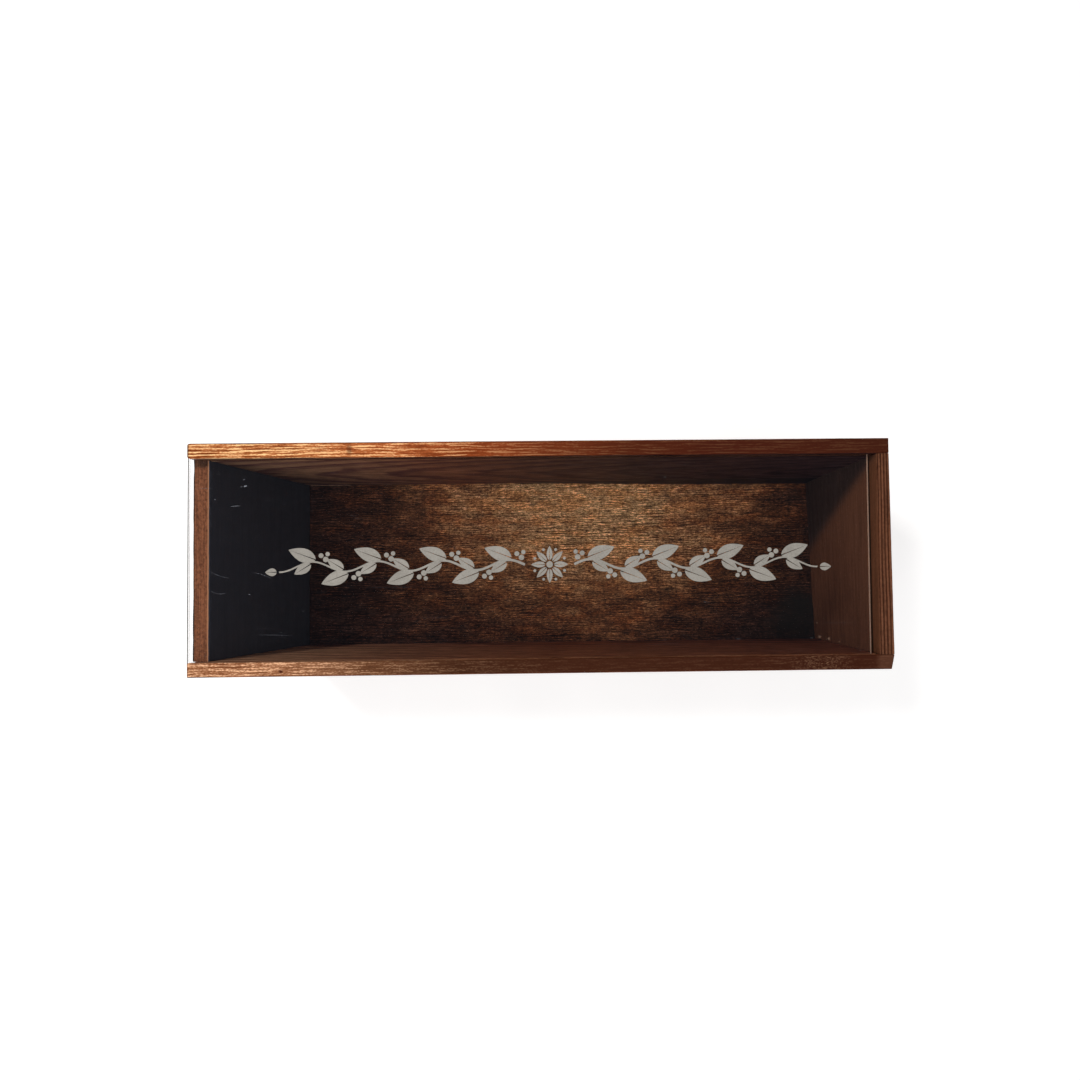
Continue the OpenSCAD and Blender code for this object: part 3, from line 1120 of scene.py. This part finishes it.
def stage_floor():
    """A pale floor that looks white to the camera, to reflections and through the lid, and stays so
    where the lamps no longer reach."""
    p = Paint("pale_floor")
    colour = p.ramp(p.noise((90, 90, 90)), (0.3, 226, 226, 226), (0.7, 232, 232, 232))
    matte = p.shader("Diffuse", {"Color": colour})
    run = p.node("ShaderNodeVectorMath", {0: p.place}, operation="LENGTH").outputs["Value"]
    glow = {"Color": (1.0, 1.0, 1.0, 1.0), "Strength": p.fit(run, *STAGE_RUN, 0.42, 0.84, smooth=True)}
    lift = p.node("ShaderNodeEmission", glow).outputs[0]
    both = p.node("ShaderNodeAddShader", {0: matte, 1: lift}).outputs[0]
    rays = p.node("ShaderNodeLightPath").outputs
    seen = p.calc("MAXIMUM", rays["Is Camera Ray"], rays["Is Glossy Ray"])
    seen = p.calc("MAXIMUM", seen, rays["Is Transmission Ray"])
    work = bmesh.new()
    bmesh.ops.create_grid(work, x_segments=8, y_segments=8, size=STAGE_HALF)
    mesh = mesh_from("stage_floor", work, p.finish(p.blend(seen, matte, both)))
    floor = add_object("stage_floor", mesh)
    floor.location.z = -STAGE_DROP


def area_lamp(name, spot, side, level, colour):
    """A square lamp that lights without being mirrored, since the lid would show its hard outline.

    level is the light that it gives to a face turned up at the middle of the box: at 1, a matte
    colour there renders as it is written.
    """
    way = LAMP_AIM - Vector(spot)
    data = bpy.data.lights.new(name, "AREA")
    data.shape = "SQUARE"
    data.size = side
    data.energy = level * (math.pi * way.length) ** 2 * way.length / abs(way.z)
    data.color = colour
    lamp = add_object(name, data)
    lamp.location = spot
    lamp.rotation_mode = "QUATERNION"
    lamp.rotation_quaternion = way.to_track_quat("-Z", "Y")
    lamp.visible_camera = False
    lamp.visible_glossy = False
    return lamp


def lamps():
    """A key lamp from the upper left and back, a soft one overhead and a large one from the front.

    The overhead lamp isn't seen through the lid's edges either.
    """
    area_lamp("key_lamp", (-0.66, 0.56, 1.28), 0.26, 0.3, (1.0, 0.97, 0.93))
    overhead = area_lamp("overhead_lamp", (-0.04, -0.06, 1.3), 0.4, 0.4, (1.0, 0.97, 0.93))
    overhead.visible_transmission = False
    area_lamp("front_lamp", (-0.55, -1.15, 1.0), 1.0, 0.16, (0.97, 0.98, 1.0))


def room():
    """A world that is white to the camera, an even soft light to matt faces, and to polished ones a
    room that is pale at eye level and dim overhead."""
    p = Paint("studio", "worlds")
    height = p.axis("Z", p.coords["Generated"])
    rays = p.node("ShaderNodeLightPath").outputs

    def backdrop(colour):
        return p.node("ShaderNodeBackground", {"Color": colour}).outputs[0]

    mirrored = backdrop(p.ramp(height, (0.25, 0.5), (0.7, ROOM_OVERHEAD)))
    shown = p.blend(rays["Is Glossy Ray"], backdrop(ROOM_LIGHT), mirrored)
    shown = p.blend(rays["Is Camera Ray"], shown, backdrop((1, 1, 1, 1)))
    p.node("ShaderNodeOutputWorld", {"Surface": shown})
    bpy.context.scene.world = p.owner
    bpy.context.scene.view_settings.view_transform = "Standard"


# ---- the box


def all_woods():
    return {
        # The rims' tones and streaks are bright at the left and dark at the right: partly the wood's own
        # colour, partly a painted highlight from the light at the left.
        "back_rim": rim_wood(
            "back_rim_wood",
            tones=(
                (0.0, 198, 127, 79), (0.16, 200, 129, 80), (0.27, 192, 111, 64), (0.38, 152, 75, 38),
                (0.5, 116, 55, 29), (0.62, 83, 37, 20), (0.75, 72, 30, 18), (1.0, 67, 31, 19),
            ),
            streaks=((0.0, 1.0), (0.3, 0.8), (0.45, 0.4), (0.62, 0.2), (1.0, 0.14)),
            shares=(0.5, 0.3, 0.2, 0.05),
            glint=tint(255, 212, 152),
            knot=(-99.4 * MM, 56.5 * MM, 1.6 * MM, 3.4 * MM, 0.6),
            swirl=(-260 * MM, 0.0),
            seed=1.0,
        ),
        "front_rim": rim_wood(
            "front_rim_wood",
            tones=(
                (0.0, 182, 131, 97), (0.13, 174, 125, 93), (0.25, 109, 72, 49), (0.38, 69, 40, 25),
                (0.5, 64, 34, 21), (0.974, 61, 30, 19), (0.979, 84, 52, 38),
            ),
            streaks=(
                (0.0, 0.95), (0.14, 0.8), (0.28, 0.4), (0.42, 0.24),
                (0.55, 0.14), (0.82, 0.14), (0.9, 0.34), (0.96, 0.12),
            ),
            shares=(0.34, 0.34, 0.32, 0.016),
            glint=tint(250, 200, 158),
            knot=(-134.5 * MM, -57.8 * MM, 1.3 * MM, 0.8 * MM, 1.0),
            swirl=(146 * MM, -56 * MM),
            seed=31.0,
        ),
        # The inner faces' tones run from light at the left to dark at the right: partly the wood's own
        # colour, partly painted light from the light at the left.
        "back_inside": flame_wood(
            "back_inside_wood",
            tones=(
                (0.04, 138, 106, 82), (0.2, 150, 108, 82), (0.32, 138, 90, 65), (0.43, 108, 70, 52),
                (0.54, 82, 54, 44), (0.66, 60, 39, 36), (1.0, 62, 42, 41),
            ),
            dark=(0.50, 0.38, 0.50, 1.0),
            axis_spot=(98 * MM, 47 * MM),
            axis_tilt=-0.15,
            period=6.6 * MM,
            foot=(0.86, 0.88, 0.95, 1.0),
            fibre_cell=(12, 0.8, 1.7),
            seed=3.0,
            foot_shadow=22 * MM,
        ),
        # Lighter at the left: partly the wood's colour, partly painted light.
        "front_inside": flame_wood(
            "front_inside_wood",
            tones=(
                (0.05, 184, 142, 110), (0.28, 146, 100, 73), (0.5, 134, 80, 51), (0.7, 132, 80, 54),
                (1.0, 124, 70, 48),
            ),
            dark=(0.46, 0.34, 0.32, 1.0),
            axis_spot=(98 * MM, 10 * MM),
            axis_tilt=-0.06,
            period=6.0 * MM,
            foot=(0.80, 0.68, 0.70, 1.0),
            fibre_cell=(12, 0.8, 1.7),
            seed=17.0,
        ),
        "outside": flame_wood(
            "outside_wood",
            tones=((0.0, 112, 68, 46), (0.5, 100, 58, 39), (1.0, 90, 50, 34)),
            dark=(0.56, 0.44, 0.40, 1.0),
            axis_spot=(97 * MM, 48 * MM),
            axis_tilt=0.09,
            period=4.2 * MM,
            foot=(0.92, 0.90, 0.88, 1.0),
            fibre_cell=(20, 0.6, 0.6),
            seed=23.0,
        ),
        # The left end's top: its back end darkens into a painted shadow of the back board, and a painted
        # shade of the gap runs along its outer edge.
        "left_top": cross_wood(
            "left_top_wood",
            tint(119, 73, 49),
            0.4,
            2.0,
            far=(tint(83, 54, 37), 48 * MM, 50 * MM, 0.0),
            lines=(
                ("X", LEFT_OUTER - 0.2 * MM, LEFT_OUTER + 0.9 * MM, 0.1, 0.95, tint(22, 15, 12)),
                ("X", LEFT_INNER - 0.75 * MM, LEFT_INNER - 0.25 * MM, 0.1, 0.95, tint(172, 122, 88)),
            ),
            mottle=0.6,
        ),
        # The left end's inner face is a dark bluish grey with hardly any grain: painted shade, with a painted
        # bluish reflection of the lid over it.
        "left_face": cross_wood("left_face_wood", tint(68, 70, 78), 0.07, 6.0),
        "outside_end": cross_wood("outside_end_wood", tint(104, 62, 42), 0.35, 26.0),
        "right_top": cross_wood("right_top_wood", tint(103, 66, 47), 0.35, 12.0, mottle=0.5, ridged=True),
        # The right end's inner face: its back part darkens into a painted shadow of the back board, with a
        # slanting edge, and a painted shadow line runs just beyond the lid's end.
        "right_face": cross_wood(
            "right_face_wood",
            tint(101, 64, 45),
            0.25,
            15.0,
            far=(tint(66, 50, 44), -2 * MM, 10 * MM, 0.486),
            lines=(("Z", 92.0 * MM, 94.2 * MM, 0.15, 0.9, tint(30, 20, 17)),),
            mottle=0.25,
        ),
        "groove": cross_wood("groove_wood", tint(66, 42, 31), 0.3, 19.0),
        # The front groove is lighter than the wood: painted light, standing for a light line along the front
        # lip where the groove lies in shade.
        "front_groove": cross_wood("front_groove_wood", tint(136, 94, 70), 0.3, 19.0),
        "end_grain": end_grain(),
        "floor": floor_wood(),
        "ply_edge": ply_edge(),
    }


make_camera()
woods = all_woods()
back_board(woods)
front_board(woods)
left_end(woods)
right_end(woods)
floor_panel(woods)
lid_piece()
print_piece()
scratches_piece()
glue_piece()
dress_brads()
stage_floor()
lamps()
room()

bpy.context.view_layer.update()
